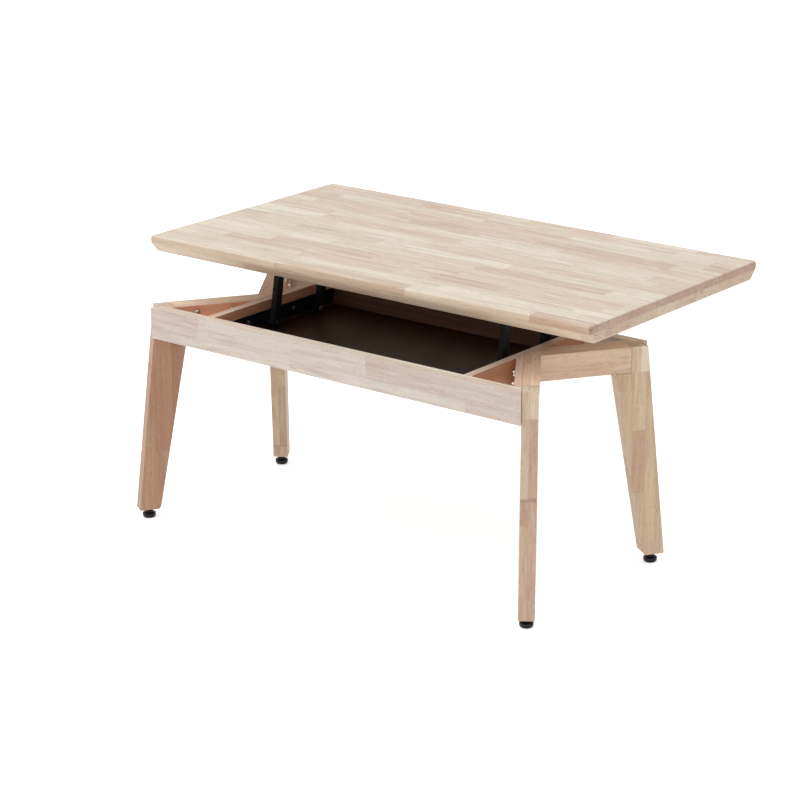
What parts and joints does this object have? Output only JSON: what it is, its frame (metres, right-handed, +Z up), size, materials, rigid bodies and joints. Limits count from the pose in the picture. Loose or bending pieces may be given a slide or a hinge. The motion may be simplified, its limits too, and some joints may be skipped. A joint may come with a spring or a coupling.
{
  "type": "lift top coffee table",
  "caption": "Rectangular wooden coffee table with a shallow storage tray, splayed diagonal legs and a thick top that rises and swings over to one long side on steel link arms.",
  "frame": {"origin": "floor level, below the middle of the bounding box with the top raised; the middle of the base lies 118.2 mm towards -Y from it", "axes": "+X along the length of the table, +Y across it towards the side the raised top swings to, +Z up"},
  "size_m": [1.1, 0.7226, 0.58],
  "materials": {
    "rubberwood": "pale finger-jointed staves, clear satin lacquer",
    "tray_board": "dark brown faced board, satin",
    "black_steel": "satin black powder coat",
    "zinc_steel": "bright zinc plated",
    "foot_plastic": "matt moulded black"
  },
  "bodies": {
    "base": {"front_apron": "rubberwood", "back_apron": "rubberwood", "side_rail_right": "rubberwood", "side_rail_left": "rubberwood", "tray_floor": "tray_board", "leg_beam_front_right": "rubberwood", "inner_arm_front_right": "rubberwood", "leg_front_right": "rubberwood", "foot_insert_front_right": "zinc_steel", "arm_bolt_outer_front_right": "zinc_steel", "arm_bolt_inner_front_right": "zinc_steel", "leg_beam_front_left": "rubberwood", "inner_arm_front_left": "rubberwood", "leg_front_left": "rubberwood", "foot_insert_front_left": "zinc_steel", "arm_bolt_outer_front_left": "zinc_steel", "arm_bolt_inner_front_left": "zinc_steel", "leg_beam_back_right": "rubberwood", "inner_arm_back_right": "rubberwood", "leg_back_right": "rubberwood", "foot_insert_back_right": "zinc_steel", "arm_bolt_outer_back_right": "zinc_steel", "arm_bolt_inner_back_right": "zinc_steel", "leg_beam_back_left": "rubberwood", "inner_arm_back_left": "rubberwood", "leg_back_left": "rubberwood", "foot_insert_back_left": "zinc_steel", "arm_bolt_outer_back_left": "zinc_steel", "arm_bolt_inner_back_left": "zinc_steel", "base_bracket_right": "black_steel", "lower_pin_front_right": "black_steel", "lower_pin_rear_right": "zinc_steel", "plate_screw_front_right": "zinc_steel", "plate_screw_rear_right": "zinc_steel", "base_bracket_left": "black_steel", "lower_pin_front_left": "black_steel", "lower_pin_rear_left": "zinc_steel", "plate_screw_front_left": "zinc_steel", "plate_screw_rear_left": "zinc_steel"},
    "lift_top": {"table_top": "rubberwood", "top_bracket_right": "black_steel", "upper_pin_front_right": "zinc_steel", "upper_pin_rear_right": "zinc_steel", "bracket_screw_front_right": "zinc_steel", "bracket_screw_rear_right": "zinc_steel", "top_bracket_left": "black_steel", "upper_pin_front_left": "zinc_steel", "upper_pin_rear_left": "zinc_steel", "bracket_screw_front_left": "zinc_steel", "bracket_screw_rear_left": "zinc_steel"},
    "front_link_right": {"front_link_right": "black_steel"},
    "rear_link_right": {"rear_link_right": "black_steel"},
    "front_link_left": {"front_link_left": "black_steel"},
    "rear_link_left": {"rear_link_left": "black_steel"},
    "foot_front_right": {"levelling_foot_front_right": "foot_plastic"},
    "foot_front_left": {"levelling_foot_front_left": "foot_plastic"},
    "foot_back_right": {"levelling_foot_back_right": "foot_plastic"},
    "foot_back_left": {"levelling_foot_back_left": "foot_plastic"}
  },
  "joints": [
    {"name": "lift", "type": "hinge", "parent": "base", "child": "front_link_right", "pos_m": [0.287, -0.15125, 0.417], "axis": [1, 0, 0], "range_deg": [0, 100.59]},
    {"name": "front_link_left_hinge", "type": "hinge", "parent": "base", "child": "front_link_left", "pos_m": [-0.287, -0.15125, 0.417], "axis": [1, 0, 0], "range_deg": [0, 100.59]},
    {"name": "rear_link_right_hinge", "type": "hinge", "parent": "base", "child": "rear_link_right", "pos_m": [0.287, -0.00625, 0.417], "axis": [1, 0, 0], "range_deg": [0, 100.59]},
    {"name": "rear_link_left_hinge", "type": "hinge", "parent": "base", "child": "rear_link_left", "pos_m": [-0.287, -0.00625, 0.417], "axis": [1, 0, 0], "range_deg": [0, 100.59]},
    {"name": "top_level", "type": "hinge", "parent": "front_link_right", "child": "lift_top", "pos_m": [0.287, -0.09514, 0.53205], "axis": [1, 0, 0], "range_deg": [-100.59, 0]},
    {"name": "foot_turn_front_right", "type": "hinge", "parent": "base", "child": "foot_front_right", "pos_m": [0.48497, -0.33325, 0], "axis": [0, 0, 1], "continuous": true},
    {"name": "foot_turn_front_left", "type": "hinge", "parent": "base", "child": "foot_front_left", "pos_m": [-0.48497, -0.33325, 0], "axis": [0, 0, 1], "continuous": true},
    {"name": "foot_turn_back_right", "type": "hinge", "parent": "base", "child": "foot_back_right", "pos_m": [0.48497, 0.09675, 0], "axis": [0, 0, 1], "continuous": true},
    {"name": "foot_turn_back_left", "type": "hinge", "parent": "base", "child": "foot_back_left", "pos_m": [-0.48497, 0.09675, 0], "axis": [0, 0, 1], "continuous": true}
  ],
  "couplings": [
    {"joint": "front_link_left_hinge", "follows": "lift", "ratio": 1},
    {"joint": "rear_link_right_hinge", "follows": "lift", "ratio": 1},
    {"joint": "rear_link_left_hinge", "follows": "lift", "ratio": 1},
    {"joint": "top_level", "follows": "lift", "ratio": -1}
  ]
}
